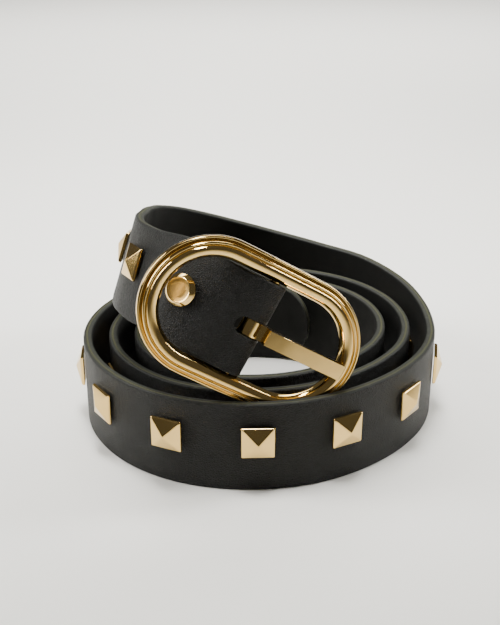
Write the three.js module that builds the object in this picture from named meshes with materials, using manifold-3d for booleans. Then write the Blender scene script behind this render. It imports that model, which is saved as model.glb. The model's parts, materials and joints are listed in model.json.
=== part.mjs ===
// A studded leather belt lying loosely coiled on a flat surface, with its buckle resting on the coils.
// Millimetres, +Z up. The front of the pile, where the buckle lies, faces -Y.
import * as THREE from "three";
import { mergeVertices } from "three/addons/utils/BufferGeometryUtils.js";
import Module from "manifold-3d";

// Strap
const strapWidth = 30;
const strapThickness = 3;
const edgeChamfer = 0.5;
const foldThickness = 2.2; // the leather is pared thinner where it turns round the bar
const tipLength = 13; // the rounded end
const holeDiameter = 5;
const holeSpacing = 25;
const holeCount = 5;
const firstHoleFromTip = 90;

// Coil: the strap stands on its edge and winds inwards
const coilRadius = 60;
const coilTurning = 1030; // degrees from the right side of the outer turn to the tip
const coilSlack = 2.5; // room between a stud and the next turn

// Buckle
const barRadius = 1.6;
const strapPlay = 0.4; // between the frame's rails and each edge of the strap
const straightLength = 27.8; // the straight stretch of the oval
const rimWidth = 6.5;
const rimHeight = 4;
const rimBack = 0.3; // how far the rim's back lies behind the bar's centre
const buckleRight = -0.055; // its bar's middle, from the coil's centre, as a share of coilRadius
const buckleInset = 9.73; // behind the front of the outer turn
const buckleUp = 1.713; // above the floor, as a share of strapWidth
const buckleTurn = 13; // degrees, towards the right
const buckleLean = 8; // degrees, backwards
const buckleRoll = 31; // degrees, right end down

// Prong
const prongWidth = 4.8;
const prongLength = 31;
const prongThickness = 2.4;
const eyeWall = 1.5;
const slotReach = 5.9; // the slot's end, left of the bar
const slotPlay = 0.4; // beside the prong

// Strap at the buckle
const curlRadius = 32; // of the strap's first bend, behind the frame's left end
const curlAngle = 48; // degrees
const lapLength = 32; // the end that is turned back behind the strap
const rivetDistance = 24.2; // from the bar
const pareLength = 30; // over which the leather gets back to its full thickness

// Rivet
const rivetDiameter = 10;
const rivetFace = 7;
const rivetRise = 1.8;
const rivetEdge = 0.5; // the upright part of the rise
const postDiameter = 3;
const rivetBackDiameter = 7;
const rivetBackThickness = 1;

// Studs
const studSide = 10.5;
const studWall = 1;
const studHeight = 3.1;
const studPitch = 27.8;
const studCount = 30;
const firstStud = 51.5; // from the bar
const studRaise = 2.5; // above the strap's middle

// Clearances
const seatGap = 0.25; // between a piece and the leather under it
const turningGap = 0.3; // round the bar
const restGap = 0.3; // between the prong and the rim that it lies on
const plyGap = 0.3; // between the strap and its turned-back end

// Facets
const roundSteps = 24;
const rimSteps = 16; // round each end of the oval
const fineStep = 1.4; // between the strap's sections at the buckle
const coarseStep = 5.2; // and farther on
const tipSteps = 10;
const routeStep = 15; // degrees between the coil's control points
const lengthSteps = 20; // between neighbouring control points

const railInner = strapWidth / 2 + strapPlay;
const railOuter = railInner + rimWidth;
const foldRadius = barRadius + turningGap + foldThickness / 2;
const coilPitch = strapThickness + studHeight + coilSlack;
const cutterDepth = 14; // passes through both plies
const slotHalf = prongWidth / 2 + slotPlay;
const eyeRadius = barRadius + turningGap + eyeWall;
const prongRest = rimHeight - rimBack + restGap; // forwards of the bar's centre
const rad = THREE.MathUtils.degToRad;

// One turn of the coil seen from above, in equal steps from the right side anticlockwise:
// the outer wall's distance from the centre, as a share of coilRadius.
const turnOutline = [
  { side: "right", reach: 1 },
  { side: "back right", reach: 1.055 },
  { side: "back", reach: 1.042 },
  { side: "back left", reach: 1.058 },
  { side: "left", reach: 1.073 },
  { side: "front left", reach: 1.013 },
  { side: "front", reach: 0.926 },
  { side: "front right", reach: 0.913 },
];

// The raised stretch, from the buckle round the left and the back down to the outer turn.
// angle: degrees round the coil; reach: the strap's middle from the coil's centre, as a share of
// coilRadius; height: its middle above the floor, as a share of strapWidth; lean: inwards, degrees.
const raisedStretch = [
  { angle: 217, reach: 0.733, height: 2.005, lean: 24 },
  { angle: 197, reach: 0.727, height: 1.94, lean: 19 },
  { angle: 177, reach: 0.735, height: 1.84, lean: 17 },
  { angle: 161, reach: 0.776, height: 1.735, lean: 17 },
  { angle: 149, reach: 0.85, height: 1.632, lean: 16 },
  { angle: 140, reach: 0.928, height: 1.54, lean: 15 },
  { angle: 132, reach: 1.003, height: 1.455, lean: 13 },
  { angle: 120, reach: 1.083, height: 1.3, lean: 12 },
  { angle: 106, reach: 1.122, height: 1.1, lean: 9 },
  { angle: 90, reach: 1.12, height: 0.91, lean: 6 },
  { angle: 70, reach: 1.1, height: 0.76, lean: 4 },
  { angle: 52, reach: 1.085, height: 0.7, lean: 2 },
  { angle: 34, reach: 1.055, height: 0.62, lean: 1 },
  { angle: 18, reach: 1.015, height: 0.55, lean: 0 },
];

// Section of the buckle's rim. inwards: from the outer edge, as a share of rimWidth;
// forwards: from the rim's back, as a share of rimHeight.
const rimSection = [
  { inwards: 0.06, forwards: 0 },
  { inwards: 0.95, forwards: 0 },
  { inwards: 1, forwards: 0.06 },
  { inwards: 1, forwards: 0.4 },
  { inwards: 0.97, forwards: 0.54 },
  { inwards: 0.9, forwards: 0.74 },
  { inwards: 0.78, forwards: 0.91 },
  { inwards: 0.63, forwards: 1 },
  { inwards: 0.48, forwards: 1 },
  { inwards: 0.42, forwards: 0.9 },
  { inwards: 0.38, forwards: 0.76 },
  { inwards: 0.33, forwards: 0.84 },
  { inwards: 0.26, forwards: 0.8 },
  { inwards: 0.2, forwards: 0.52 },
  { inwards: 0.15, forwards: 0.5 },
  { inwards: 0.11, forwards: 0.58 },
  { inwards: 0.04, forwards: 0.56 },
  { inwards: 0, forwards: 0.44 },
  { inwards: 0, forwards: 0.1 },
];

// The prong from the eye to its tip. along: from the bar, as a share of prongLength; lift: of its
// underside, as a share of the height at which it lies on the rim; depth: as a share of
// prongThickness; side: half the width, as a share of prongWidth; bevel: of the upper edges, too.
const prongSections = [
  { along: 0.05, lift: -0.05, depth: 1.15, side: 0.5, bevel: 0.05 },
  { along: 0.125, lift: 0.12, depth: 1.15, side: 0.5, bevel: 0.05 },
  { along: 0.14, lift: 0.2, depth: 2.2, side: 0.5, bevel: 0.14 },
  { along: 0.3, lift: 0.8, depth: 1.3, side: 0.5, bevel: 0.15 },
  { along: 0.45, lift: 1, depth: 1.05, side: 0.5, bevel: 0.15 },
  { along: 0.93, lift: 1, depth: 1, side: 0.49, bevel: 0.15 },
  { along: 0.975, lift: 1, depth: 0.99, side: 0.44, bevel: 0.15 },
  { along: 0.993, lift: 1.02, depth: 0.92, side: 0.36, bevel: 0.12 },
  { along: 1, lift: 1.06, depth: 0.75, side: 0.28, bevel: 0.06 },
];

const leather = new THREE.MeshStandardMaterial({ color: 0x15150f, roughness: 0.62, metalness: 0 });
const gold = new THREE.MeshStandardMaterial({ color: 0xe0c27c, roughness: 0.14, metalness: 1 });

const wasm = await Module();
wasm.setup();

function solidOf(geometry) {
  const bare = geometry.clone();
  bare.deleteAttribute("normal");
  bare.deleteAttribute("uv");
  const merged = mergeVertices(bare, 1e-4);
  const vertProperties = new Float32Array(merged.attributes.position.array);
  const triVerts = new Uint32Array(merged.index.array);
  return new wasm.Manifold(new wasm.Mesh({ numProp: 3, vertProperties, triVerts }));
}

function geometryOf(solid) {
  const mesh = solid.getMesh();
  const geometry = new THREE.BufferGeometry();
  geometry.setAttribute("position", new THREE.BufferAttribute(mesh.vertProperties, 3));
  geometry.setIndex(new THREE.BufferAttribute(mesh.triVerts, 1));
  geometry.computeVertexNormals();
  return geometry;
}

// Joins rings of points into one closed body. The rings' points run anticlockwise as seen from
// the last ring; a closed sweep joins its last ring to its first and has no ends.
function sweep(rings, closed) {
  const count = rings[0].length;
  const positions = rings.flat().flatMap((point) => point.toArray());
  const index = [];
  const spans = closed ? rings.length : rings.length - 1;
  for (let ring = 0; ring < spans; ring += 1) {
    const here = ring * count;
    const next = ((ring + 1) % rings.length) * count;
    for (let side = 0; side < count; side += 1) {
      const beside = (side + 1) % count;
      index.push(here + side, here + beside, next + beside);
      index.push(here + side, next + beside, next + side);
    }
  }
  const last = (rings.length - 1) * count;
  for (let side = 1; !closed && side < count - 1; side += 1) {
    index.push(0, side + 1, side);
    index.push(last, last + side, last + side + 1);
  }
  const geometry = new THREE.BufferGeometry();
  geometry.setAttribute("position", new THREE.Float32BufferAttribute(positions, 3));
  geometry.setIndex(index);
  return geometry;
}

const frontTurned = 90; // degrees of winding to the front of the coil
const buckleCentre = new THREE.Vector3(
  buckleRight * coilRadius,
  buckleInset - wallReach(frontTurned),
  buckleUp * strapWidth,
);

// The buckle's own frame: X along the oval, Z along the bar, front towards -Y, origin in the bar.
const buckleRotation = new THREE.Euler(-rad(buckleLean), rad(buckleRoll), rad(buckleTurn), "ZXY");
const buckleMatrix = new THREE.Matrix4().makeRotationFromEuler(buckleRotation).setPosition(buckleCentre);
const barDirection = new THREE.Vector3(0, 0, 1).transformDirection(buckleMatrix);

function atBuckle(x, y) {
  return new THREE.Vector3(x, y, 0).applyMatrix4(buckleMatrix);
}

// Distance of the coil's outer wall from the centre, after so many degrees of winding.
function wallReach(turned) {
  const steps = turnOutline.length;
  const place = THREE.MathUtils.euclideanModulo(-turned / 360, 1) * steps;
  const from = Math.floor(place);
  const [a, b, c, d] = [-1, 0, 1, 2].map((k) => turnOutline[(from + k + steps) % steps].reach);
  const t = place - from;
  const bend = b + 0.5 * t * (c - a + t * (2 * a - 5 * b + 4 * c - d + t * (3 * (b - c) + d - a)));
  return coilRadius * bend - (coilPitch * turned) / 360;
}

// Control points of the strap's middle line, each with the direction of the strap's width.
function strapRoute() {
  const route = [];
  const curlCentre = curlRadius - foldRadius;
  const addCurl = (degrees, radius) => {
    const angle = rad(degrees);
    const centre = atBuckle(-radius * Math.sin(angle), curlCentre - radius * Math.cos(angle));
    route.push({ centre, width: barDirection });
  };
  const lapAngle = THREE.MathUtils.radToDeg(lapLength / curlRadius);
  const closing = 20; // degrees over which the two plies come together
  const lapSteps = 9;
  for (let step = lapSteps; step > 0; step -= 1) {
    const degrees = (lapAngle * step) / lapSteps;
    const ease = THREE.MathUtils.smoothstep(degrees, 0, closing);
    addCurl(degrees, curlRadius - THREE.MathUtils.lerp(2 * foldRadius, foldThickness + plyGap, ease));
  }
  const foldSteps = 8;
  for (let step = 0; step <= foldSteps; step += 1) {
    const angle = (0.5 - step / foldSteps) * Math.PI;
    const centre = atBuckle(foldRadius * Math.cos(angle), foldRadius * Math.sin(angle));
    route.push({ centre, width: barDirection });
  }
  const barIndex = route.length - 1;
  const curlSteps = 6;
  for (let step = 1; step <= curlSteps; step += 1) {
    addCurl((curlAngle * step) / curlSteps, curlRadius);
  }
  for (const row of raisedStretch) {
    const outwards = new THREE.Vector3(Math.cos(rad(row.angle)), Math.sin(rad(row.angle)), 0);
    const centre = outwards.clone().multiplyScalar(row.reach * coilRadius);
    centre.z = row.height * strapWidth;
    const width = outwards.multiplyScalar(-Math.sin(rad(row.lean)));
    width.z = Math.cos(rad(row.lean));
    route.push({ centre, width });
  }
  for (let turned = 0; turned <= coilTurning; turned += routeStep) {
    const reach = wallReach(turned) - strapThickness / 2;
    const angle = -rad(turned);
    const centre = new THREE.Vector3(reach * Math.cos(angle), reach * Math.sin(angle), strapWidth / 2);
    route.push({ centre, width: new THREE.Vector3(0, 0, 1) });
  }
  return { route, barIndex };
}

const { route, barIndex } = strapRoute();
const middleLine = new THREE.CatmullRomCurve3(route.map((point) => point.centre));
middleLine.arcLengthDivisions = lengthSteps * (route.length - 1);
const strapLength = middleLine.getLength();

// Distances are measured along the strap from where its front ply leaves the bar.
const barDistance = middleLine.getLengths()[lengthSteps * barIndex];

// The strap's own frame at a distance: X along it, Y across its width, Z out of its studded face.
function strapFrame(distance) {
  const share = THREE.MathUtils.clamp((distance + barDistance) / strapLength, 0, 1);
  const t = middleLine.getUtoTmapping(share);
  const along = middleLine.getTangent(t);
  const place = t * (route.length - 1);
  const from = Math.min(Math.floor(place), route.length - 2);
  const across = route[from].width.clone().lerp(route[from + 1].width, place - from);
  across.addScaledVector(along, -across.dot(along)).normalize();
  const out = new THREE.Vector3().crossVectors(across, along);
  const centre = middleLine.getPoint(t);
  centre.z = Math.max(centre.z, strapWidth / 2); // the strap stays on the floor
  return new THREE.Matrix4().makeBasis(along.negate(), across, out).setPosition(centre);
}

function thicknessAt(distance) {
  const ease = THREE.MathUtils.smoothstep(distance, rivetDistance, rivetDistance + pareLength);
  return THREE.MathUtils.lerp(foldThickness, strapThickness, ease);
}

// The strap's section at a distance: a flat band with chamfered edges, narrowing at the tip.
function strapRing(distance, fromTip) {
  const inTip = THREE.MathUtils.clamp(1 - fromTip / tipLength, 0, 1);
  const narrowest = 0.08; // the tip's last section, as a share of the width
  const half = (strapWidth / 2) * Math.max(Math.sqrt(1 - inTip * inTip), narrowest);
  const depth = thicknessAt(distance) / 2;
  const cut = edgeChamfer;
  const corners = [
    [-half, -depth + cut],
    [-half, depth - cut],
    [-half + cut, depth],
    [half - cut, depth],
    [half, depth - cut],
    [half, -depth + cut],
    [half - cut, -depth],
    [-half + cut, -depth],
  ];
  const frame = strapFrame(distance);
  return corners.map(([across, out]) => new THREE.Vector3(0, across, out).applyMatrix4(frame));
}

function strapBody() {
  const end = strapLength - barDistance;
  const fineEnd = rivetDistance + pareLength;
  const distances = [];
  for (let distance = -barDistance; distance < fineEnd; distance += fineStep) {
    distances.push(distance);
  }
  const coarse = end - tipLength - fineEnd;
  const count = Math.ceil(coarse / coarseStep);
  for (let k = 0; k < count; k += 1) {
    distances.push(fineEnd + (coarse * k) / count);
  }
  for (let k = 0; k <= tipSteps; k += 1) {
    distances.push(end - tipLength * (1 - Math.sin((Math.PI / 2) * (k / tipSteps))));
  }
  return sweep(distances.map((distance) => strapRing(distance, end - distance)), false);
}

// A round cutter that goes through the strap at a distance.
function roundCutter(distance, diameter, depth) {
  const cutter = new THREE.CylinderGeometry(diameter / 2, diameter / 2, depth, roundSteps);
  cutter.rotateX(Math.PI / 2);
  cutter.applyMatrix4(strapFrame(distance));
  return cutter;
}

// The slot for the prong, through both plies and round the fold.
function slotCutter() {
  const right = foldRadius + foldThickness;
  const left = slotHalf - slotReach;
  const outline = new THREE.Shape();
  outline.moveTo(right, -slotHalf);
  outline.lineTo(right, slotHalf);
  outline.lineTo(left, slotHalf);
  outline.absarc(left, 0, slotHalf, Math.PI / 2, (3 * Math.PI) / 2, false);
  outline.closePath();
  const settings = { depth: cutterDepth, bevelEnabled: false, curveSegments: roundSteps / 2 };
  const cutter = new THREE.ExtrudeGeometry(outline, settings);
  cutter.translate(0, 0, -cutterDepth / 2);
  cutter.rotateX(Math.PI / 2);
  cutter.applyMatrix4(buckleMatrix);
  return cutter;
}

function strap() {
  const postHole = roundCutter(rivetDistance, postDiameter + 2 * seatGap, cutterDepth);
  let solid = solidOf(strapBody()).subtract(solidOf(slotCutter())).subtract(solidOf(postHole));
  const end = strapLength - barDistance;
  for (let hole = 0; hole < holeCount; hole += 1) {
    const distance = end - firstHoleFromTip - hole * holeSpacing;
    solid = solid.subtract(solidOf(roundCutter(distance, holeDiameter, 2 * strapThickness)));
  }
  return new THREE.Mesh(geometryOf(solid), leather);
}

// The oval rim with its centre bar, one casting.
function buckleFrame() {
  const rings = [];
  for (const end of [1, -1]) {
    for (let step = 0; step <= rimSteps; step += 1) {
      const angle = (step / rimSteps - end / 2) * Math.PI;
      const outwards = new THREE.Vector3(Math.cos(angle), 0, Math.sin(angle));
      rings.push(rimSection.map(({ inwards, forwards }) => {
        const point = outwards.clone().multiplyScalar(railOuter - inwards * rimWidth);
        point.x += (end * straightLength) / 2;
        point.y = rimBack - forwards * rimHeight;
        return point;
      }));
    }
  }
  const rim = solidOf(sweep(rings, true));
  const bar = new THREE.CylinderGeometry(barRadius, barRadius, 2 * railInner + rimWidth, roundSteps);
  bar.rotateX(Math.PI / 2);
  return new THREE.Mesh(geometryOf(rim.add(solidOf(bar))), gold);
}

// The prong: an eye that turns on the bar, a low neck and a raised body that lies on the rim.
function prong() {
  const eye = new THREE.CylinderGeometry(eyeRadius, eyeRadius, prongWidth, roundSteps);
  eye.rotateX(Math.PI / 2);
  const boreRadius = barRadius + turningGap;
  const bore = new THREE.CylinderGeometry(boreRadius, boreRadius, 2 * prongWidth, roundSteps);
  bore.rotateX(Math.PI / 2);
  const rings = prongSections.map((row) => {
    const x = row.along * prongLength;
    const side = row.side * prongWidth;
    const bevel = row.bevel * prongWidth;
    const under = -row.lift * prongRest;
    const top = under - row.depth * prongThickness;
    const corners = [[-side, under], [side, under], [side, top + bevel], [side - bevel, top]];
    corners.push([-side + bevel, top], [-side, top + bevel]);
    return corners.map(([across, depth]) => new THREE.Vector3(x, depth, across));
  });
  const body = solidOf(eye).add(solidOf(sweep(rings, false))).subtract(solidOf(bore));
  return new THREE.Mesh(geometryOf(body), gold);
}

// The rivet that holds the turned-back end: a bevelled head in front, a post and a plain back.
function rivet() {
  const front = foldThickness / 2 + seatGap;
  const hollow = (rivetBackDiameter ** 2) / (8 * (curlRadius - 2 * foldThickness));
  const back = -(1.5 * foldThickness + plyGap + 2 * seatGap + hollow);
  const outline = [
    [0, back - rivetBackThickness],
    [rivetBackDiameter / 2, back - rivetBackThickness],
    [rivetBackDiameter / 2, back],
    [postDiameter / 2, back],
    [postDiameter / 2, front],
    [rivetDiameter / 2, front],
    [rivetDiameter / 2, front + rivetEdge],
    [rivetFace / 2, front + rivetRise],
    [0, front + rivetRise],
  ];
  const geometry = new THREE.LatheGeometry(outline.map(([r, z]) => new THREE.Vector2(r, z)), roundSteps);
  geometry.rotateX(Math.PI / 2);
  geometry.applyMatrix4(strapFrame(rivetDistance));
  return new THREE.Mesh(geometry, gold);
}

// A square stud with an upright wall and a pyramid on it.
function studShape() {
  const corner = studSide / Math.SQRT2;
  const outline = [[0, 0], [corner, 0], [corner, studWall], [0, studHeight]];
  const geometry = new THREE.LatheGeometry(outline.map(([r, z]) => new THREE.Vector2(r, z)), 4);
  geometry.rotateY(Math.PI / 4);
  geometry.rotateX(Math.PI / 2);
  return geometry;
}

const belt = new THREE.Group();

function addPiece(name, mesh, parent) {
  mesh.name = name;
  parent.add(mesh);
}

addPiece("strap", strap(), belt);
addPiece("rivet", rivet(), belt);

const buckle = new THREE.Group();
buckle.position.copy(buckleCentre);
buckle.rotation.copy(buckleRotation);
addPiece("buckle_frame", buckleFrame(), buckle);
addPiece("prong", prong(), buckle);
belt.add(buckle);

const studGeometry = studShape();
for (let k = 0; k < studCount; k += 1) {
  const stud = new THREE.Mesh(studGeometry, gold);
  const distance = firstStud + k * studPitch;
  const seat = new THREE.Matrix4().makeTranslation(0, studRaise, thicknessAt(distance) / 2 + seatGap);
  strapFrame(distance).multiply(seat).decompose(stud.position, stud.quaternion, stud.scale);
  addPiece(`stud_${String(k + 1).padStart(2, "0")}`, stud, belt);
}

// The origin is under the middle of the whole, on the floor.
const whole = new THREE.Box3().setFromObject(belt, true);
const middle = whole.getCenter(new THREE.Vector3());
belt.position.set(-middle.x, -middle.y, -whole.min.z);

const object = new THREE.Group();
object.add(belt);

export default object;
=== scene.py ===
# Visual model of a studded leather belt, lying coiled with its buckle end raised, round the packed frame.
# Sizes are in metres. The strap is cut out flat, then wound up along the same route as the CAD strap.
import bpy
import json
import math
from bisect import bisect_right
from collections import namedtuple
from mathutils import Matrix, Vector

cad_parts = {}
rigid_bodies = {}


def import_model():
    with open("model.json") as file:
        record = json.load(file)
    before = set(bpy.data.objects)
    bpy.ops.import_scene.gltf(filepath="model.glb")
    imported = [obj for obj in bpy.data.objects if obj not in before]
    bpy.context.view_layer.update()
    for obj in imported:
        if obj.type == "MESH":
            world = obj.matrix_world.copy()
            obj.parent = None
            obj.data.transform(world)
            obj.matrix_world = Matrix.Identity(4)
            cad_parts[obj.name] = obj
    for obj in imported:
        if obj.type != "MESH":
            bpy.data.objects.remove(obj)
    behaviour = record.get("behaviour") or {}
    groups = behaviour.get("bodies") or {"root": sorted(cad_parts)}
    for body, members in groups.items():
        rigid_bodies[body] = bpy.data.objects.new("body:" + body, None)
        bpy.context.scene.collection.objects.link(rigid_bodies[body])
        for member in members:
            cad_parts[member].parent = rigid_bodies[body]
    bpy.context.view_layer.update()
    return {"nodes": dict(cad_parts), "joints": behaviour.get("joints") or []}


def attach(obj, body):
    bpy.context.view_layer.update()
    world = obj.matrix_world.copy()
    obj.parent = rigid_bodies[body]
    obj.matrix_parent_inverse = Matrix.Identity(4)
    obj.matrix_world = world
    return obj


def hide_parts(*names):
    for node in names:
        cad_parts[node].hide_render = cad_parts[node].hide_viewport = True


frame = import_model()

bl_info = {
    "name": "Studded Belt",
    "version": (1, 0, 0),
    "blender": (4, 5, 0),
    "location": "View3D > Sidebar > Belt",
    "description": "Models a coiled leather belt with pyramid studs and an oval buckle",
    "category": "Add Mesh",
}

MM = 0.001
BELT_BODY = "belt"
PRONG_BODY = "prong"
STUD_NAMES = sorted(name for name in frame["nodes"] if name.startswith("stud_"))
HINGE = frame["joints"][0]

# One turn of the coil seen from above, in equal steps from the right side anticlockwise:
# the outer wall's distance from the centre, as a share of the coil's radius.
TurnPoint = namedtuple("TurnPoint", "side reach")
TURN_OUTLINE = (
    TurnPoint("right", 1),
    TurnPoint("back right", 1.055),
    TurnPoint("back", 1.042),
    TurnPoint("back left", 1.058),
    TurnPoint("left", 1.073),
    TurnPoint("front left", 1.013),
    TurnPoint("front", 0.926),
    TurnPoint("front right", 0.913),
)

# The raised stretch, from the buckle round the left and the back down to the outer turn.
# angle: degrees round the coil; reach: from the coil's centre, as a share of its radius;
# height: above the floor, as a share of the strap's width; lean: inwards, degrees.
RaisedPoint = namedtuple("RaisedPoint", "angle reach height lean")
RAISED_STRETCH = (
    RaisedPoint(217, 0.733, 2.005, 24),
    RaisedPoint(197, 0.727, 1.94, 19),
    RaisedPoint(177, 0.735, 1.84, 17),
    RaisedPoint(161, 0.776, 1.735, 17),
    RaisedPoint(149, 0.85, 1.632, 16),
    RaisedPoint(140, 0.928, 1.54, 15),
    RaisedPoint(132, 1.003, 1.455, 13),
    RaisedPoint(120, 1.083, 1.3, 12),
    RaisedPoint(106, 1.122, 1.1, 9),
    RaisedPoint(90, 1.12, 0.91, 6),
    RaisedPoint(70, 1.1, 0.76, 4),
    RaisedPoint(52, 1.085, 0.7, 2),
    RaisedPoint(34, 1.055, 0.62, 1),
    RaisedPoint(18, 1.015, 0.55, 0),
)

# Section of the buckle's rim. inwards: from the outer edge, as a share of the rim's width;
# forwards: from the rim's back, as a share of its height; crease: how sharp the corner stays.
RimPoint = namedtuple("RimPoint", "inwards forwards crease")
RIM_SECTION = (
    RimPoint(0.06, 0.0, 0.5),
    RimPoint(0.5, 0.0, 0),
    RimPoint(0.93, 0.0, 0.5),
    RimPoint(1.0, 0.08, 0.3),
    RimPoint(1.0, 0.4, 0.5),
    RimPoint(0.962, 0.56, 0.6),
    RimPoint(0.9, 0.75, 0.1),
    RimPoint(0.79, 0.91, 0),
    RimPoint(0.68, 0.985, 0),
    RimPoint(0.56, 1.0, 0),
    RimPoint(0.47, 0.96, 0.3),
    RimPoint(0.42, 0.85, 0.3),
    RimPoint(0.39, 0.74, 0.7),
    RimPoint(0.36, 0.82, 0.2),
    RimPoint(0.3, 0.86, 0),
    RimPoint(0.245, 0.78, 0.2),
    RimPoint(0.205, 0.56, 0.3),
    RimPoint(0.18, 0.47, 0.7),
    RimPoint(0.145, 0.54, 0.2),
    RimPoint(0.09, 0.6, 0),
    RimPoint(0.03, 0.57, 0.2),
    RimPoint(0.0, 0.46, 0.2),
    RimPoint(0.0, 0.12, 0.3),
)

# Side view of the prong. along: from the bar, as a share of its length; under and top: heights above
# the bar's centre, as shares of the height at which the prong lies on the rim.
ProngPoint = namedtuple("ProngPoint", "along under top")
PRONG_SIDE = (
    ProngPoint(0.05, -0.05, 0.64),
    ProngPoint(0.125, 0.12, 0.81),
    ProngPoint(0.14, 0.2, 1.52),
    ProngPoint(0.3, 0.8, 1.58),
    ProngPoint(0.45, 1.0, 1.63),
    ProngPoint(0.93, 1.0, 1.6),
    ProngPoint(0.99, 1.01, 1.58),
    ProngPoint(1.0, 1.06, 1.5),
)


class StrapSettings(bpy.types.PropertyGroup):
    """The leather strap."""

    width: bpy.props.FloatProperty(
        name="Width", description="Width of the strap", default=30 * MM, unit="LENGTH"
    )
    thickness: bpy.props.FloatProperty(
        name="Thickness", description="Thickness of the leather", default=3 * MM, unit="LENGTH"
    )
    fold_thickness: bpy.props.FloatProperty(
        name="Fold thickness", description="Thickness where it is pared at the bar",
        default=2.2 * MM, unit="LENGTH",
    )
    edge_round: bpy.props.FloatProperty(
        name="Edge rounding", description="How far the burnished edges are rounded",
        default=0.75 * MM, unit="LENGTH",
    )
    tip_length: bpy.props.FloatProperty(
        name="Tip length", description="Length of the rounded end", default=13 * MM, unit="LENGTH"
    )
    hole_diameter: bpy.props.FloatProperty(
        name="Hole diameter", description="Diameter of the holes for the prong",
        default=5 * MM, unit="LENGTH",
    )
    hole_spacing: bpy.props.FloatProperty(
        name="Hole spacing", description="From one hole to the next", default=25 * MM, unit="LENGTH"
    )
    hole_count: bpy.props.IntProperty(
        name="Holes", description="Number of holes for the prong", default=5
    )
    first_hole: bpy.props.FloatProperty(
        name="First hole", description="From the tip to the first hole", default=90 * MM, unit="LENGTH"
    )
    leather_colour: bpy.props.FloatVectorProperty(
        name="Leather", description="Colour of the studded side", subtype="COLOR",
        default=(0.0052, 0.0052, 0.0038),
    )
    edge_colour: bpy.props.FloatVectorProperty(
        name="Edge", description="Colour of the burnished edges", subtype="COLOR",
        default=(0.013, 0.0138, 0.0088),
    )
    seam_colour: bpy.props.FloatVectorProperty(
        name="Seam", description="Colour of the line between the plies", subtype="COLOR",
        default=(0.05, 0.05, 0.017),
    )


class CoilSettings(bpy.types.PropertyGroup):
    """How the strap lies."""

    radius: bpy.props.FloatProperty(
        name="Radius", description="Radius of the outer turn", default=60 * MM, unit="LENGTH"
    )
    turning: bpy.props.FloatProperty(
        name="Turning", description="From the right of the outer turn to the tip",
        default=math.radians(1030), unit="ROTATION",
    )
    slack: bpy.props.FloatProperty(
        name="Slack", description="Room between a stud and the next turn", default=2.5 * MM, unit="LENGTH"
    )
    curl_radius: bpy.props.FloatProperty(
        name="Curl radius", description="Radius of the first bend, behind the buckle",
        default=32 * MM, unit="LENGTH",
    )
    curl_angle: bpy.props.FloatProperty(
        name="Curl angle", description="How far the first bend goes",
        default=math.radians(48), unit="ROTATION",
    )
    lap_length: bpy.props.FloatProperty(
        name="Lap length", description="Length of the end that is turned back",
        default=32 * MM, unit="LENGTH",
    )


class BuckleSettings(bpy.types.PropertyGroup):
    """The oval frame, its bar, the prong and the rivet."""

    bar_radius: bpy.props.FloatProperty(
        name="Bar radius", description="Radius of the bar", default=1.6 * MM, unit="LENGTH"
    )
    straight: bpy.props.FloatProperty(
        name="Straight", description="Straight stretch of the oval", default=27.8 * MM, unit="LENGTH"
    )
    rim_width: bpy.props.FloatProperty(
        name="Rim width", description="Width of the rim", default=6.5 * MM, unit="LENGTH"
    )
    rim_height: bpy.props.FloatProperty(
        name="Rim height", description="Height of the rim", default=4 * MM, unit="LENGTH"
    )
    rim_back: bpy.props.FloatProperty(
        name="Rim back", description="How far the rim's back lies behind the bar",
        default=0.3 * MM, unit="LENGTH",
    )
    aside: bpy.props.FloatProperty(
        name="Aside", description="Its bar, to the right of the coil's centre",
        default=-3.3 * MM, unit="LENGTH",
    )
    inset: bpy.props.FloatProperty(
        name="Inset", description="Its bar, behind the front of the outer turn",
        default=9.73 * MM, unit="LENGTH",
    )
    turn: bpy.props.FloatProperty(
        name="Turn", description="Towards the right", default=math.radians(13), unit="ROTATION"
    )
    lean: bpy.props.FloatProperty(
        name="Lean", description="Backwards", default=math.radians(8), unit="ROTATION"
    )
    roll: bpy.props.FloatProperty(
        name="Roll", description="Right end down", default=math.radians(31), unit="ROTATION"
    )
    prong_width: bpy.props.FloatProperty(
        name="Prong width", description="Width of the prong", default=4.8 * MM, unit="LENGTH"
    )
    prong_length: bpy.props.FloatProperty(
        name="Prong length", description="From the bar to the prong's tip", default=31 * MM, unit="LENGTH"
    )
    eye_radius: bpy.props.FloatProperty(
        name="Eye radius", description="Radius of the prong's eye", default=3.4 * MM, unit="LENGTH"
    )
    slot_reach: bpy.props.FloatProperty(
        name="Slot reach", description="From the bar to the slot's left end",
        default=5.9 * MM, unit="LENGTH",
    )
    rivet_distance: bpy.props.FloatProperty(
        name="Rivet distance", description="From the bar to the rivet", default=24.2 * MM, unit="LENGTH"
    )
    rivet_diameter: bpy.props.FloatProperty(
        name="Rivet diameter", description="Diameter of the rivet's head", default=10 * MM, unit="LENGTH"
    )
    metal_colour: bpy.props.FloatVectorProperty(
        name="Metal", description="Colour of the plating", subtype="COLOR", default=(0.8, 0.55, 0.2)
    )


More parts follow.
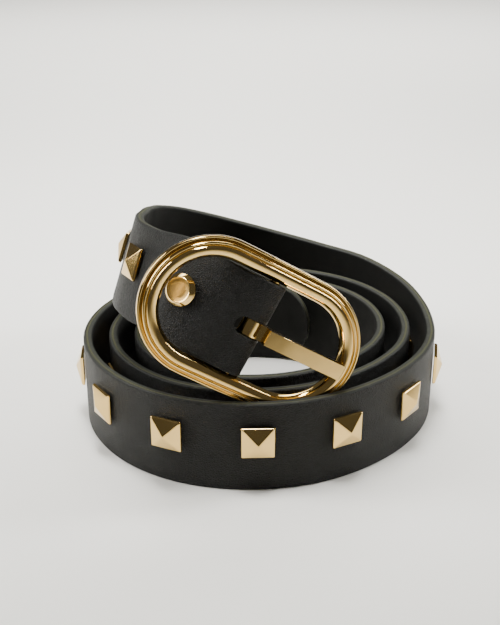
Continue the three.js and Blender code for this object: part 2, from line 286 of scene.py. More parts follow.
class StudSettings(bpy.types.PropertyGroup):
    """The pyramid studs."""

    side: bpy.props.FloatProperty(
        name="Side", description="Side of a stud", default=10.5 * MM, unit="LENGTH"
    )
    wall: bpy.props.FloatProperty(
        name="Wall", description="Height of its upright wall", default=1 * MM, unit="LENGTH"
    )
    height: bpy.props.FloatProperty(
        name="Height", description="Height of its point", default=3.1 * MM, unit="LENGTH"
    )
    pitch: bpy.props.FloatProperty(
        name="Pitch", description="From stud to stud", default=27.8 * MM, unit="LENGTH"
    )
    first: bpy.props.FloatProperty(
        name="First", description="From the bar to the first stud", default=51.5 * MM, unit="LENGTH"
    )
    raised: bpy.props.FloatProperty(
        name="Raised", description="Above the strap's middle", default=2.5 * MM, unit="LENGTH"
    )
    rounding: bpy.props.FloatProperty(
        name="Rounding", description="Width of the rounded edges", default=0.28 * MM, unit="LENGTH"
    )


class StageSettings(bpy.types.PropertyGroup):
    """The floor, the lights and the camera."""

    floor_colour: bpy.props.FloatVectorProperty(
        name="Floor", description="Colour of the floor", subtype="COLOR", default=(0.93, 0.91, 0.84)
    )
    room_colour: bpy.props.FloatVectorProperty(
        name="Room", description="Colour of the light all round", subtype="COLOR",
        default=(0.95, 0.93, 0.88),
    )
    room_light: bpy.props.FloatProperty(
        name="Room light", description="Strength of the light all round", default=0.1
    )
    distance: bpy.props.FloatProperty(
        name="Distance", description="From the camera to the coil's centre",
        default=329.7 * MM, unit="LENGTH",
    )
    height: bpy.props.FloatProperty(
        name="Height", description="Height of the camera", default=188.1 * MM, unit="LENGTH"
    )
    aside: bpy.props.FloatProperty(
        name="Aside", description="The camera's place to the right", default=-3.4 * MM, unit="LENGTH"
    )
    pitch: bpy.props.FloatProperty(
        name="Pitch", description="How far the camera looks down",
        default=math.radians(24.8), unit="ROTATION",
    )
    lens: bpy.props.FloatProperty(name="Lens", description="Focal length in millimetres", default=61.46)


# The soft lights. place and aim in metres; wide and high: of the panel; spread: in degrees.
Lamp = namedtuple("Lamp", "name place aim wide high power spread")
LAMPS = (
    Lamp("key", (-0.58, 0.0, 0.4), (0, 0.03, 0.03), 0.2, 0.45, 1.5, 90),
    Lamp("back", (0.0, 0.72, 0.85), (0, 0.62, 0), 1.0, 0.45, 8, 90),
    Lamp("side", (0.58, 0.12, 0.35), (0, 0.05, 0.03), 0.12, 0.35, 0.8, 80),
    Lamp("top", (-0.05, 0.05, 0.9), (0, 0.08, 0), 0.4, 0.15, 1.0, 50),
)

SETTINGS = {
    "belt_strap": StrapSettings,
    "belt_coil": CoilSettings,
    "belt_buckle": BuckleSettings,
    "belt_studs": StudSettings,
    "belt_stage": StageSettings,
}

# Clearances, as in the CAD model.
STRAP_PLAY = 0.4 * MM
TURNING_GAP = 0.3 * MM
REST_GAP = 0.3 * MM
SEAT_GAP = 0.25 * MM
PLY_GAP = 0.3 * MM
SLOT_PLAY = 0.4 * MM
PARE_LENGTH = 30 * MM

TINY = 0.01 * MM  # points closer than this are in one place
FRONT_TURNED = 90  # degrees of winding to the front of the coil
WINDING_STEP = 15  # degrees between the coil's centre points
CLOSING = math.radians(20)  # over which the two plies come together


def smoothstep(value, low, high):
    share = min(max((value - low) / (high - low), 0), 1)
    return share * share * (3 - 2 * share)


def mix(low, high, share):
    return low + (high - low) * share


class Route:
    """The strap's middle line and the direction of its width, with distances from the buckle's bar."""

    spans = 20

    def __init__(self, scene):
        self.strap = scene.belt_strap
        self.coil = scene.belt_coil
        self.buckle = scene.belt_buckle
        self.studs = scene.belt_studs
        self.fold_radius = self.buckle.bar_radius + TURNING_GAP + self.strap.fold_thickness / 2
        self.coil_pitch = self.strap.thickness + self.studs.height + self.coil.slack
        self.hinge = Vector(HINGE["pos_m"])
        self.buckle_matrix = Matrix.Translation(self.hinge) @ buckle_rotation(self.buckle)
        self.centres = []
        self.widths = []
        self.bar_index = 0
        self.lay_out()
        self.measure()

    def add(self, centre, width):
        self.centres.append(centre)
        self.widths.append(width)

    def at_buckle(self, along, behind):
        return self.buckle_matrix @ Vector((along, behind, 0))

    def add_curl(self, angle, radius):
        curl_centre = self.coil.curl_radius - self.fold_radius
        centre = self.at_buckle(-radius * math.sin(angle), curl_centre - radius * math.cos(angle))
        self.add(centre, self.bar_direction)

    def wall_reach(self, turned):
        """Distance of the coil's outer wall from the centre, after so many degrees of winding."""
        count = len(TURN_OUTLINE)
        place = (-turned / 360) % 1 * count
        start = int(place)
        a, b, c, d = (TURN_OUTLINE[(start + k) % count].reach for k in (-1, 0, 1, 2))
        t = place - start
        bend = b + 0.5 * t * (c - a + t * (2 * a - 5 * b + 4 * c - d + t * (3 * (b - c) + d - a)))
        return self.coil.radius * bend - self.coil_pitch * turned / 360

    def lay_out(self):
        buckle, coil, strap = self.buckle, self.coil, self.strap
        self.bar_direction = (self.buckle_matrix.to_3x3() @ Vector((0, 0, 1))).normalized()
        to_bar = Vector((buckle.aside, buckle.inset - self.wall_reach(FRONT_TURNED), self.hinge.z))
        self.centre = self.hinge - to_bar
        lap_angle = coil.lap_length / coil.curl_radius
        lap_steps = 9
        for step in range(lap_steps, 0, -1):
            angle = lap_angle * step / lap_steps
            ease = smoothstep(angle, 0, CLOSING)
            apart = mix(2 * self.fold_radius, strap.fold_thickness + PLY_GAP, ease)
            self.add_curl(angle, coil.curl_radius - apart)
        fold_steps = 8
        for step in range(fold_steps + 1):
            angle = (0.5 - step / fold_steps) * math.pi
            self.add(
                self.at_buckle(self.fold_radius * math.cos(angle), self.fold_radius * math.sin(angle)),
                self.bar_direction,
            )
        self.bar_index = len(self.centres) - 1
        curl_steps = 6
        for step in range(1, curl_steps + 1):
            self.add_curl(coil.curl_angle * step / curl_steps, coil.curl_radius)
        for row in RAISED_STRETCH:
            angle, lean = math.radians(row.angle), math.radians(row.lean)
            outwards = Vector((math.cos(angle), math.sin(angle), 0))
            point = self.centre + outwards * row.reach * coil.radius
            point.z = row.height * strap.width
            self.add(point, Vector((0, 0, math.cos(lean))) - outwards * math.sin(lean))
        turned = 0
        while turned <= math.degrees(coil.turning) + 1e-6:
            angle = -math.radians(turned)
            reach = self.wall_reach(turned) - strap.thickness / 2
            point = self.centre + Vector((math.cos(angle), math.sin(angle), 0)) * reach
            point.z = strap.width / 2
            self.add(point, Vector((0, 0, 1)))
            turned += WINDING_STEP

    def span(self, place):
        """Point and direction of the centripetal curve through the centres, at a place in spans."""
        last = len(self.centres) - 1
        start = min(int(place), last - 1)
        t = place - start
        p1, p2 = self.centres[start], self.centres[start + 1]
        p0 = self.centres[start - 1] if start > 0 else 2 * p1 - p2
        p3 = self.centres[start + 2] if start + 2 <= last else 2 * p2 - p1
        d0, d1, d2 = (math.sqrt((b - a).length) for a, b in ((p0, p1), (p1, p2), (p2, p3)))
        out = ((p1 - p0) / d0 - (p2 - p0) / (d0 + d1) + (p2 - p1) / d1) * d1
        into = ((p2 - p1) / d1 - (p3 - p1) / (d1 + d2) + (p3 - p2) / d2) * d1
        c2 = 3 * (p2 - p1) - 2 * out - into
        c3 = 2 * (p1 - p2) + out + into
        return p1 + t * (out + t * (c2 + t * c3)), (out + t * (2 * c2 + 3 * t * c3)).normalized()

    def measure(self):
        self.lengths = [0]
        before = self.span(0)[0]
        for step in range(1, self.spans * (len(self.centres) - 1) + 1):
            here = self.span(step / self.spans)[0]
            self.lengths.append(self.lengths[-1] + (here - before).length)
            before = here
        self.bar_distance = self.lengths[self.spans * self.bar_index]
        self.end = self.lengths[-1] - self.bar_distance

    def frame_at(self, distance):
        """The strap's own frame: X back along it, Y across it, Z out of its studded face."""
        length = min(max(distance + self.bar_distance, 0), self.lengths[-1])
        step = min(bisect_right(self.lengths, length), len(self.lengths) - 1)
        low, high = self.lengths[step - 1], self.lengths[step]
        place = (step - 1 + (length - low) / (high - low)) / self.spans
        centre, along = self.span(place)
        start = min(int(place), len(self.centres) - 2)
        across = self.widths[start].lerp(self.widths[start + 1], place - start)
        across = (across - along * across.dot(along)).normalized()
        out = across.cross(along)
        centre.z = max(centre.z, self.strap.width / 2)
        turned = Matrix((-along, across, out)).transposed().to_4x4()
        return Matrix.Translation(centre) @ turned

    def thickness(self, distance):
        start = self.buckle.rivet_distance
        ease = smoothstep(distance, start, start + PARE_LENGTH)
        return mix(self.strap.fold_thickness, self.strap.thickness, ease)


def buckle_rotation(buckle):
    """The buckle's turning: roll about the bar's own depth, then lean, then turn, as in the CAD model."""
    lean = Matrix.Rotation(-buckle.lean, 4, "X")
    roll = Matrix.Rotation(buckle.roll, 4, "Y")
    turn = Matrix.Rotation(buckle.turn, 4, "Z")
    return turn @ lean @ roll


def deselect():
    if bpy.context.object and bpy.context.object.mode != "OBJECT":
        bpy.ops.object.mode_set(mode="OBJECT")
    bpy.ops.object.select_all(action="DESELECT")


def begin(name):
    """Names the primitive that was just added and leaves it alone selected."""
    piece = bpy.context.object
    piece.name = name
    piece.data.name = name
    return piece


def activate(piece):
    deselect()
    piece.select_set(True)
    bpy.context.view_layer.objects.active = piece


def choose(piece, items, test):
    """Selects the vertices, edges or faces that pass a test, and goes into edit mode."""
    activate(piece)
    bpy.ops.object.mode_set(mode="EDIT")
    bpy.ops.mesh.select_mode(type={"vertices": "VERT", "edges": "EDGE", "polygons": "FACE"}[items])
    bpy.ops.mesh.select_all(action="DESELECT")
    bpy.ops.object.mode_set(mode="OBJECT")
    found = 0
    for item in getattr(piece.data, items):
        item.select = test(item)
        found += item.select
    if not found:
        raise RuntimeError(f"{piece.name}: nothing to work on")
    bpy.ops.object.mode_set(mode="EDIT")


def choose_all(piece):
    choose(piece, "vertices", lambda vertex: True)


def extrude(*move):
    bpy.ops.mesh.extrude_region_move(TRANSFORM_OT_translate={"value": move})


def bevel(offset, segments, clamp=False):
    """Bevels what is chosen, and leaves edit mode."""
    bpy.ops.mesh.bevel(offset=offset, segments=segments, profile=0.5, affect="EDGES", clamp_overlap=clamp)
    bpy.ops.object.mode_set(mode="OBJECT")


def face_outwards():
    """Turns all normals outwards, and leaves edit mode."""
    bpy.ops.mesh.select_all(action="SELECT")
    bpy.ops.mesh.normals_make_consistent(inside=False)
    bpy.ops.object.mode_set(mode="OBJECT")


def apply(piece, kind, **values):
    activate(piece)
    modifier = piece.modifiers.new(kind.lower(), kind)
    for key, value in values.items():
        setattr(modifier, key, value)
    bpy.ops.object.modifier_apply(modifier=modifier.name)


def round_corners(piece, width, segments, degrees):
    angle = math.radians(degrees)
    apply(piece, "BEVEL", width=width, segments=segments, limit_method="ANGLE", angle_limit=angle)


def cut(piece, cutter, operation="DIFFERENCE"):
    apply(piece, "BOOLEAN", object=cutter, operation=operation, solver="EXACT")
    bpy.data.objects.remove(cutter)


def place(piece, matrix):
    piece.data.transform(matrix)
    piece.data.update()


def smooth(piece, degrees):
    activate(piece)
    bpy.ops.object.shade_smooth_by_angle(angle=math.radians(degrees), keep_sharp_edges=False)
    apply(piece, "WEIGHTED_NORMAL", keep_sharp=True)


def finish(piece, nodes, body, materials):
    for material in materials:
        piece.data.materials.append(material)
    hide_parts(*nodes)
    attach(piece, body)


class Shader:
    """A material's node tree, with short calls for the nodes that the finishes use."""

    def __init__(self, name):
        self.material = bpy.data.materials.new(name)
        self.material.use_nodes = True
        self.nodes = self.material.node_tree.nodes
        self.links = self.material.node_tree.links
        self.surface = self.nodes["Principled BSDF"]

    def node(self, kind, inputs=None, **values):
        made = self.nodes.new(kind)
        for key, value in values.items():
            setattr(made, key, value)
        for key, value in (inputs or {}).items():
            self.feed(made.inputs[key], value)
        return made

    def feed(self, socket, value):
        if isinstance(value, bpy.types.NodeSocket):
            self.links.new(value, socket)
        else:
            socket.default_value = value

    def set(self, **values):
        for key, value in values.items():
            self.feed(self.surface.inputs[key.replace("_", " ")], value)

    def objects(self):
        return self.node("ShaderNodeTexCoord").outputs["Object"]

    def uv(self):
        return self.node("ShaderNodeUVMap", uv_map="strap").outputs["UV"]

    def stretched(self, vector, scale):
        return self.node("ShaderNodeMapping", {"Vector": vector, "Scale": scale}).outputs["Vector"]

    def noise(self, vector, scale, detail=4, roughness=0.55):
        inputs = {"Vector": vector, "Scale": scale, "Detail": detail, "Roughness": roughness}
        return self.node("ShaderNodeTexNoise", inputs).outputs["Fac"]

    def cells(self, vector, scale):
        inputs = {"Vector": vector, "Scale": scale}
        return self.node("ShaderNodeTexVoronoi", inputs, feature="DISTANCE_TO_EDGE").outputs["Distance"]

    def math(self, operation, *values):
        made = self.node("ShaderNodeMath", operation=operation)
        for socket, value in zip(made.inputs, values):
            self.feed(socket, value)
        return made.outputs[0]

    def remap(self, value, low, high, to_low, to_high):
        inputs = {"Value": value, "From Min": low, "From Max": high, "To Min": to_low, "To Max": to_high}
        return self.node("ShaderNodeMapRange", inputs).outputs["Result"]

    def blend(self, share, first, second):
        made = self.node("ShaderNodeMix", data_type="RGBA")
        self.feed(made.inputs[0], share)
        self.feed(made.inputs[6], first)
        self.feed(made.inputs[7], second)
        return made.outputs[2]

    def bump(self, height, depth, strength=1.0, below=None):
        inputs = {"Height": height, "Distance": depth, "Strength": strength}
        if below is not None:
            inputs["Normal"] = below
        return self.node("ShaderNodeBump", inputs).outputs["Normal"]


def rgba(colour, share=1.0):
    return (*(channel * share for channel in colour), 1)


def leather_finish(strap, buckle):
    """Satin black leather: pebbled grain, faint creases, uneven gloss, a pressed line round the slot."""
    shader = Shader("leather_grain")
    place_in = shader.objects()
    pebbles = shader.cells(place_in, 1500)
    fine = shader.noise(place_in, 2600, 4)
    creases = shader.noise(place_in, 420, 3)
    broad = shader.noise(place_in, 70, 4)
    patches = shader.noise(place_in, 24, 3)
    wear = shader.remap(shader.math("MULTIPLY", broad, patches), 0.16, 0.38, 0, 1)
    dark, light = rgba(strap.leather_colour, 0.75), rgba(strap.leather_colour, 1.6)
    shader.set(Base_Color=shader.blend(wear, dark, light))
    gloss = shader.remap(broad, 0.3, 0.7, 0.37, 0.5)
    pits = shader.remap(pebbles, 0, 0.3, 0.12, 0)
    half_slot = buckle.prong_width / 2 + SLOT_PLAY
    flat = shader.node("ShaderNodeSeparateXYZ", {"Vector": shader.uv()})
    beyond = shader.math("SUBTRACT", flat.outputs["X"], buckle.slot_reach - half_slot)
    beyond = shader.math("MAXIMUM", beyond, 0)
    corner = shader.node("ShaderNodeCombineXYZ", {"X": beyond, "Y": flat.outputs["Y"]}).outputs["Vector"]
    from_slot = shader.node("ShaderNodeVectorMath", {0: corner}, operation="LENGTH").outputs["Value"]
    line_start, line_end = half_slot + 0.3 * MM, half_slot + 1.3 * MM
    pressed = shader.remap(from_slot, line_start, line_end, 1, 0)
    gloss = shader.math("ADD", gloss, shader.math("MULTIPLY", pressed, -0.12))
    shader.set(Roughness=shader.math("ADD", gloss, pits))
    coarse = shader.bump(creases, 0.3 * MM, 0.7)
    coarse = shader.bump(pressed, 0.4 * MM, 0.8, coarse)
    grain = shader.bump(shader.remap(pebbles, 0, 0.35, 0, 1), 0.22 * MM, 0.9, coarse)
    shader.set(Normal=shader.bump(fine, 0.2 * MM, 0.8, grain))
    shader.surface.inputs["Specular IOR Level"].default_value = 0.28
    return shader.material


def back_finish(strap):
    """The inner side: duller, with short fibres along the strap."""
    shader = Shader("leather_back")
    along = shader.stretched(shader.uv(), (900, 5200, 1))
    fibres = shader.noise(along, 1, 5, 0.7)
    broad = shader.noise(shader.objects(), 60, 3)
    dark, light = rgba(strap.leather_colour, 0.6), rgba(strap.leather_colour, 1.3)
    shader.set(Base_Color=shader.blend(shader.remap(fibres, 0.35, 0.65, 0, 1), dark, light))
    shader.set(Roughness=shader.remap(broad, 0.3, 0.7, 0.66, 0.82))
    shader.set(Normal=shader.bump(fibres, 0.1 * MM, 0.5))
    shader.surface.inputs["Specular IOR Level"].default_value = 0.25
    return shader.material


def edge_finish(strap):
    """The cut edges: painted and burnished, with a seam between the plies and small rubbed places."""
    shader = Shader("leather_edge")
    uv = shader.uv()
    across = shader.node("ShaderNodeSeparateXYZ", {"Vector": uv}).outputs["Y"]
    streaks = shader.noise(shader.stretched(uv, (420, 4200, 1)), 1, 5, 0.7)
    blotches = shader.noise(shader.objects(), 420, 4, 0.65)
    wander = shader.math("MULTIPLY", shader.noise(shader.objects(), 120, 2), 0.5 * MM)
    from_seam = shader.math("ABSOLUTE", shader.math("SUBTRACT", across, wander))
    seam = shader.remap(from_seam, 0.2 * MM, 0.45 * MM, 1, 0)
    outer = shader.remap(shader.math("ABSOLUTE", across), 0.85 * MM, 1.3 * MM, 0, 1)
    dark, light = rgba(strap.edge_colour, 0.35), rgba(strap.edge_colour, 1.8)
    colour = shader.blend(shader.remap(streaks, 0.32, 0.68, 0, 1), dark, light)
    colour = shader.blend(shader.math("MULTIPLY", seam, 0.7), colour, rgba(strap.seam_colour))
    colour = shader.blend(shader.math("MULTIPLY", outer, 0.55), colour, rgba(strap.leather_colour, 1.5))
    rubbed = shader.remap(blotches, 0.56, 0.7, 0, 0.7)
    shader.set(Base_Color=shader.blend(rubbed, colour, rgba(strap.edge_colour, 3)))
    shader.set(Roughness=shader.remap(streaks, 0.3, 0.7, 0.5, 0.75))
    shader.surface.inputs["Specular IOR Level"].default_value = 0.3
    seam_groove = shader.bump(seam, 0.18 * MM, 0.7)
    shader.set(Normal=shader.bump(shader.math("ADD", streaks, blotches), 0.18 * MM, 0.6, seam_groove))
    return shader.material


def metal_finish(buckle, name, gloss, dents, tone=1.0):
    """Polished gold plating: fine smears in the polish, hairline scratches and shallow dents."""
    shader = Shader(name)
    place_in = shader.objects()
    smears = shader.noise(place_in, 130, 5)
    scratches = shader.noise(shader.stretched(place_in, (2600, 180, 700)), 1, 3)
    shallow = shader.noise(place_in, 160, 2)
    tint = shader.remap(smears, 0.35, 0.7, 0, 1)
    dark, light = (rgba(buckle.metal_colour, share * tone) for share in (0.94, 1.06))
    shader.set(Base_Color=shader.blend(tint, dark, light))
    shader.surface.inputs["Metallic"].default_value = 1
    shader.set(Roughness=shader.remap(smears, 0.3, 0.75, gloss, gloss + 0.06))
    first = shader.bump(shallow, dents * 0.1 * MM, 0.5)
    shader.set(Normal=shader.bump(scratches, dents * 0.01 * MM, 0.08, first))
    return shader.material


class BELT_OT_strap(bpy.types.Operator):
    """Cut the strap out flat, round its edges, punch it, and wind it up"""

    bl_idname = "belt.strap"
    bl_label = "Strap"

    def execute(self, context):
        route = Route(context.scene)
        strap = route.strap
        columns = self.columns(route)
        piece = self.cut_out(route, columns)
        self.round_edges(piece, strap, columns)
        self.shape_tip(piece, route)
        self.punch(piece, route)
        self.mark_sides(piece)
        self.wind_up(piece, route)
        smooth(piece, 40)
        materials = [leather_finish(strap, route.buckle), back_finish(strap), edge_finish(strap)]
        finish(piece, ["strap"], BELT_BODY, materials)
        return {"FINISHED"}

    def columns(self, route):
        """Distances of the cuts across the strap: close together at the fold and the tip."""
        fine_end = 46 * MM
        fine, coarse, tip_steps = 0.6 * MM, 2.6 * MM, 14
        tip_start = route.end - route.strap.tip_length
        spots = []
        count = math.ceil((fine_end + route.bar_distance) / fine)
        spots += [mix(-route.bar_distance, fine_end, k / count) for k in range(count)]
        count = math.ceil((tip_start - fine_end) / coarse)
        spots += [mix(fine_end, tip_start, k / count) for k in range(count)]
        for k in range(tip_steps + 1):
            spots.append(mix(tip_start, route.end, math.sin(math.pi / 2 * k / tip_steps)))
        return spots

    def cut_out(self, route, columns):
        strap = route.strap
        deselect()
        bpy.ops.mesh.primitive_grid_add(x_subdivisions=len(columns) - 1, y_subdivisions=1, size=1)
        piece = begin("strap_leather")
        last = len(columns) - 1
        for vertex in piece.data.vertices:
            column = round((vertex.co.x + 0.5) * last)
            side = math.copysign(0.5, vertex.co.y)
            vertex.co = (columns[column], side * strap.width, -strap.thickness / 2)
        choose(piece, "polygons", lambda face: True)
        extrude(0, 0, strap.thickness)
        face_outwards()
        return piece

    def round_edges(self, piece, strap, columns):
        points = piece.data.vertices
        ends = (columns[0], columns[-1])

        def on_border(edge):
            a, b = (points[k].co for k in edge.vertices)
            upright = abs(a.z - b.z) > TINY
            lengthwise = abs(a.y - b.y) < TINY
            at_end = any(abs(a.x - end) < TINY and abs(b.x - end) < TINY for end in ends)
            return not upright and (lengthwise or at_end)

        choose(piece, "edges", on_border)
        bevel(strap.edge_round, 4)

    def shape_tip(self, piece, route):
        """Narrows the end to half an oval, whose last edge keeps a little width."""
        last_width = 0.08
        for vertex in piece.data.vertices:
            into = min(max(1 - (route.end - vertex.co.x) / route.strap.tip_length, 0), 1)
            if into > 0:
                vertex.co.y *= max(math.sqrt(max(1 - into * into, 0)), last_width)

    def punch(self, piece, route):
        """Cuts the holes and the prong's slot, and breaks the slot's edges."""
        strap, buckle = route.strap, route.buckle
        through = 4 * strap.thickness
        for hole in range(strap.hole_count):
            distance = route.end - strap.first_hole - hole * strap.hole_spacing
            deselect()
            bpy.ops.mesh.primitive_cylinder_add(
                vertices=32, radius=strap.hole_diameter / 2, depth=through, location=(distance, 0, 0)
            )
            cut(piece, bpy.context.object)
        half_slot = buckle.prong_width / 2 + SLOT_PLAY
        left = buckle.slot_reach
        right = -math.pi * route.fold_radius - buckle.slot_reach
        deselect()
        bpy.ops.mesh.primitive_cylinder_add(vertices=48, radius=half_slot, depth=through)
        slot = begin("slot_cutter")
        for vertex in slot.data.vertices:
            vertex.co.x += left - half_slot if vertex.co.x > 0 else right + half_slot
        cut(piece, slot)
        points = piece.data.vertices

        def on_rim(point):
            beyond = max(point.co.x - left + half_slot, right + half_slot - point.co.x, 0)
            return abs(math.hypot(beyond, point.co.y) - half_slot) < 0.03 * MM

        def rim_edge(edge):
            a, b = (points[k] for k in edge.vertices)
            on_face = abs(abs(a.co.z) - strap.thickness / 2) < TINY
            return on_face and abs(a.co.z - b.co.z) < TINY and on_rim(a) and on_rim(b)

        choose(piece, "edges", rim_edge)
        bevel(0.45 * MM, 3, clamp=True)

    def mark_sides(self, piece):
        """Gives each side its finish, and keeps the flat strap's places as a map for the patterns."""
        mesh = piece.data
        layer = mesh.uv_layers.new(name="strap")
        flat = 0.8  # a face of the leather's two sides looks up or down by this much
        for face in mesh.polygons:
            upright = face.normal.z
            face.material_index = 0 if upright > flat else 1 if upright < -flat else 2
            on_edge = face.material_index == 2
            for loop in face.loop_indices:
                point = mesh.vertices[mesh.loops[loop].vertex_index].co
                layer.data[loop].uv = (point.x, point.z if on_edge else point.y)

    def wind_up(self, piece, route):
        """Moves each point of the flat strap to its place on the route."""
        frames = {}
        for vertex in piece.data.vertices:
            distance, across, out = vertex.co
            key = round(distance, 7)
            if key not in frames:
                share = route.thickness(distance) / route.strap.thickness
                frames[key] = (route.frame_at(distance), share)
            matrix, share = frames[key]
            vertex.co = matrix @ Vector((0, across, out * share))
        piece.data.update()


class BELT_OT_buckle_frame(bpy.types.Operator):
    """Draw the rim's section, spin and extrude it into a quarter, and mirror that round the oval"""

    bl_idname = "belt.buckle_frame"
    bl_label = "Buckle frame"

    def execute(self, context):
        route = Route(context.scene)
        buckle = route.buckle
        inner = route.strap.width / 2 + STRAP_PLAY
        outer = inner + buckle.rim_width
        deselect()
        bpy.ops.mesh.primitive_circle_add(vertices=len(RIM_SECTION), radius=1, fill_type="NOTHING")
        piece = begin("buckle_rim")
        for vertex, row in zip(piece.data.vertices, RIM_SECTION):
            forwards = buckle.rim_back - row.forwards * buckle.rim_height
            vertex.co = (0, forwards, outer - row.inwards * buckle.rim_width)
        bend_centre = (buckle.straight / 2, 0, 0)
        choose_all(piece)
        extrude(*bend_centre)
        bpy.ops.mesh.spin(
            steps=12, angle=math.pi / 2, center=bend_centre, axis=(0, -1, 0), use_auto_merge=False
        )
        bpy.ops.object.mode_set(mode="OBJECT")
        self.crease(piece)
        apply(piece, "MIRROR", use_axis=(True, False, True), use_clip=True, merge_threshold=TINY)
        choose_all(piece)
        bpy.ops.mesh.remove_doubles(threshold=0.002 * MM)
        face_outwards()
        apply(piece, "SUBSURF", levels=2, render_levels=2)
        smooth(piece, 180)
        deselect()
        bar_length = 2 * inner + buckle.rim_width
        bpy.ops.mesh.primitive_cylinder_add(vertices=48, radius=buckle.bar_radius, depth=bar_length)
        bar = begin("bar")
        smooth(bar, 40)
        deselect()
        bar.select_set(True)
        piece.select_set(True)
        bpy.context.view_layer.objects.active = piece
        bpy.ops.object.join()
        place(piece, route.buckle_matrix)
        finish(piece, ["buckle_frame"], BELT_BODY, [metal_finish(buckle, "gold_rim", 0.05, 0.5)])
        return {"FINISHED"}

    def crease(self, piece):
        """Sharpens the corners of the section, whose points repeat along each edge line of the sweep."""
        mesh = piece.data
        count = len(RIM_SECTION)
        attribute = mesh.attributes.new("crease_edge", "FLOAT", "EDGE")
        for edge in mesh.edges:
            a, b = edge.vertices
            if a % count == b % count:
                attribute.data[edge.index].value = RIM_SECTION[a % count].crease


class BELT_OT_prong(bpy.types.Operator):
    """Draw the prong's side view, give it its width, add the eye, drill it and round its edges"""

    bl_idname = "belt.prong"
    bl_label = "Prong"

    def execute(self, context):
        route = Route(context.scene)
        buckle = route.buckle
        rest = buckle.rim_height - buckle.rim_back + REST_GAP
        width = buckle.prong_width
        tip_rounding, top_bevel, rounding = 1.25 * MM, 0.7 * MM, 0.12 * MM
        outline = [(row.along, row.under) for row in PRONG_SIDE]
        outline += [(row.along, row.top) for row in reversed(PRONG_SIDE)]
        deselect()
        bpy.ops.mesh.primitive_circle_add(vertices=len(outline), radius=1, fill_type="NGON")
        piece = begin("prong_tongue")
        for vertex, (along, height) in zip(piece.data.vertices, outline):
            vertex.co = (along * buckle.prong_length, -height * rest, -width / 2)
        choose(piece, "polygons", lambda face: True)
        extrude(0, 0, width)
        face_outwards()
        points = piece.data.vertices
        tip = buckle.prong_length

        def at_tip(edge):
            a, b = (points[k].co for k in edge.vertices)
            level = abs(a.z - b.z) < TINY
            return level and min(a.x, b.x) > 0.98 * tip and abs(a.y - b.y) > 0.6 * MM

        choose(piece, "edges", at_tip)
        bevel(tip_rounding, 5)

        def on_top(edge):
            a, b = (points[k].co for k in edge.vertices)
            high = min(-a.y, -b.y) > 1.3 * rest
            return high and (abs(a.z - b.z) < 0.25 * width or min(a.x, b.x) > 0.995 * tip)

        points = piece.data.vertices
        choose(piece, "edges", on_top)
        bevel(top_bevel, 1, clamp=True)
        deselect()
        bpy.ops.mesh.primitive_cylinder_add(vertices=64, radius=buckle.eye_radius, depth=width)
        cut(piece, begin("eye"), "UNION")
        deselect()
        bore = buckle.bar_radius + TURNING_GAP
        bpy.ops.mesh.primitive_cylinder_add(vertices=64, radius=bore, depth=2 * width)
        cut(piece, begin("bore"))
        round_corners(piece, rounding, 2, 30)
        smooth(piece, 35)
        place(piece, route.buckle_matrix)
        finish(piece, ["prong"], PRONG_BODY, [metal_finish(buckle, "gold_prong", 0.06, 0.3)])
        return {"FINISHED"}


class BELT_OT_rivet(bpy.types.Operator):
    """Turn the rivet: a bevelled head with a flat face, a post and a plain back plate"""

    bl_idname = "belt.rivet"
    bl_label = "Rivet"

    def execute(self, context):
        route = Route(context.scene)
        buckle, strap = route.buckle, route.strap
        radius = buckle.rivet_diameter / 2
        front = strap.fold_thickness / 2 + SEAT_GAP
        edge, rise, face = 0.5 * MM, 1.8 * MM, 3.5 * MM
        post, back_radius, back_plate = 1.5 * MM, 3.5 * MM, 1 * MM
        rounding, dish = 0.15 * MM, 0.12 * MM
        hollow = back_radius**2 / (2 * (route.coil.curl_radius - 2 * strap.fold_thickness))
        back = -(1.5 * strap.fold_thickness + PLY_GAP + 2 * SEAT_GAP + hollow)
        deselect()
        bpy.ops.mesh.primitive_circle_add(vertices=64, radius=back_radius, fill_type="NGON")
        piece = begin("rivet_head")
        place(piece, Matrix.Translation((0, 0, back - back_plate)))
        levels = (
            (back_radius, back),
            (post, back),
            (post, front),
            (radius - rounding, front),
            (radius, front + rounding),
            (radius, front + edge - rounding),
            (radius - 0.6 * rounding, front + edge + 0.5 * rounding),
            (face + 3 * rounding, front + rise - 0.8 * rounding),
            (face + 1.6 * rounding, front + rise),
            (face, front + rise - dish),
            (0.6 * face, front + rise - 0.16 * MM),
        )
        choose(piece, "polygons", lambda polygon: True)
        at, height = back_radius, back - back_plate
        for level_radius, level in levels:
            share = level_radius / at
            extrude(0, 0, level - height)
            bpy.ops.transform.resize(value=(share, share, 1), center_override=(0, 0, level))
            at, height = level_radius, level
        face_outwards()
        smooth(piece, 50)
        for polygon in piece.data.polygons:
            inside = math.hypot(polygon.center.x, polygon.center.y) < 0.92 * face
            polygon.material_index = 1 if inside and polygon.center.z > front + edge else 0
        place(piece, route.frame_at(buckle.rivet_distance))
        bright = metal_finish(buckle, "gold_rivet", 0.1, 0.8)
        worn = metal_finish(buckle, "gold_rivet_face", 0.3, 1.5, 0.5)
        finish(piece, ["rivet"], BELT_BODY, [bright, worn])
        return {"FINISHED"}


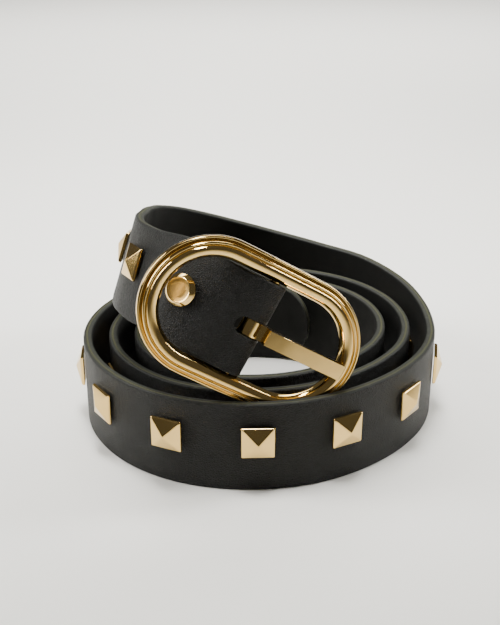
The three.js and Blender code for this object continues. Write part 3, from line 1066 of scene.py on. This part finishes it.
class BELT_OT_studs(bpy.types.Operator):
    """Press one stud, round its edges, and set a copy at each place along the strap"""

    bl_idname = "belt.studs"
    bl_label = "Studs"

    def execute(self, context):
        route = Route(context.scene)
        studs = route.studs
        pattern = self.press(studs)
        material = metal_finish(route.buckle, "gold_stud", 0.09, 0.6)
        for index, name in enumerate(STUD_NAMES):
            distance = studs.first + index * studs.pitch
            piece = pattern.copy()
            piece.data = pattern.data.copy()
            piece.name = f"{name}_cap"
            context.collection.objects.link(piece)
            seat = Matrix.Translation((0, studs.raised, route.thickness(distance) / 2 + SEAT_GAP))
            place(piece, route.frame_at(distance) @ seat)
            finish(piece, [name], BELT_BODY, [material])
        bpy.data.objects.remove(pattern)
        return {"FINISHED"}

    def press(self, studs):
        deselect()
        bpy.ops.mesh.primitive_cube_add(size=studs.side)
        piece = begin("stud_pattern")
        taper = 0.012 * studs.side  # the walls lean in a little
        for vertex in piece.data.vertices:
            vertex.co.z = studs.wall if vertex.co.z > 0 else 0
            if vertex.co.z > 0:
                vertex.co.x -= math.copysign(taper, vertex.co.x)
                vertex.co.y -= math.copysign(taper, vertex.co.y)
        choose(piece, "polygons", lambda face: face.normal.z > 0.9)
        extrude(0, 0, studs.height - studs.wall)
        bpy.ops.mesh.merge(type="CENTER")
        bpy.ops.object.mode_set(mode="OBJECT")
        round_corners(piece, studs.rounding, 3, 20)
        smooth(piece, 25)
        return piece


class BELT_OT_stage(bpy.types.Operator):
    """Lay the floor, set the lights and place the camera"""

    bl_idname = "belt.stage"
    bl_label = "Stage"

    def execute(self, context):
        stage = context.scene.belt_stage
        self.floor(stage)
        self.lights(context, stage)
        self.camera(context, stage)
        return {"FINISHED"}

    def floor(self, stage):
        deselect()
        bpy.ops.mesh.primitive_plane_add(size=8)
        floor = begin("floor")
        shader = Shader("floor")
        cloudy = shader.noise(shader.objects(), 3, 2)
        pale, deep = rgba(stage.floor_colour), rgba(stage.floor_colour, 0.97)
        shader.set(Base_Color=shader.blend(cloudy, pale, deep))
        shader.set(Roughness=0.75)
        floor.data.materials.append(shader.material)

    def lights(self, context, stage):
        for lamp_row in LAMPS:
            bpy.ops.object.light_add(type="AREA", location=lamp_row.place)
            lamp = context.object
            lamp.name = lamp_row.name
            lamp.data.shape = "RECTANGLE"
            lamp.data.size = lamp_row.wide
            lamp.data.size_y = lamp_row.high
            lamp.data.energy = lamp_row.power
            lamp.data.spread = math.radians(lamp_row.spread)
            aim = Vector(lamp_row.aim) - Vector(lamp_row.place)
            lamp.rotation_euler = aim.to_track_quat("-Z", "Y").to_euler()
        world = context.scene.world or bpy.data.worlds.new("studio")
        context.scene.world = world
        world.use_nodes = True
        background = world.node_tree.nodes["Background"]
        background.inputs["Color"].default_value = rgba(stage.room_colour)
        background.inputs["Strength"].default_value = stage.room_light

    def camera(self, context, stage):
        centre = Route(context.scene).centre
        spot = centre + Vector((stage.aside, -stage.distance, stage.height))
        bpy.ops.object.camera_add(location=spot, rotation=(math.pi / 2 - stage.pitch, 0, 0))
        camera = context.object
        camera.name = "photo_camera"
        camera.data.sensor_fit = "VERTICAL"
        camera.data.sensor_height = 36
        camera.data.lens = stage.lens
        camera.data.clip_start = 0.01
        context.scene.camera = camera


class BELT_PT_panel(bpy.types.Panel):
    """Lists the steps and the main sizes"""

    bl_idname = "BELT_PT_panel"
    bl_label = "Studded Belt"
    bl_space_type = "VIEW_3D"
    bl_region_type = "UI"
    bl_category = "Belt"

    def draw(self, context):
        for operator in OPERATORS:
            self.layout.operator(operator.bl_idname)
        for name, group in SETTINGS.items():
            box = self.layout.box()
            box.label(text=group.__doc__)
            settings = getattr(context.scene, name)
            for key in group.__annotations__:
                box.prop(settings, key)


OPERATORS = (
    BELT_OT_strap,
    BELT_OT_buckle_frame,
    BELT_OT_prong,
    BELT_OT_rivet,
    BELT_OT_studs,
    BELT_OT_stage,
)
CLASSES = (*SETTINGS.values(), *OPERATORS, BELT_PT_panel)


def register():
    for item in CLASSES:
        bpy.utils.register_class(item)
    for name, group in SETTINGS.items():
        setattr(bpy.types.Scene, name, bpy.props.PointerProperty(type=group))


def unregister():
    for name in SETTINGS:
        delattr(bpy.types.Scene, name)
    for item in reversed(CLASSES):
        bpy.utils.unregister_class(item)


def main():
    register()
    for operator in OPERATORS:
        group, step = operator.bl_idname.split(".")
        getattr(getattr(bpy.ops, group), step)()
    deselect()


if __name__ == "__main__":
    main()
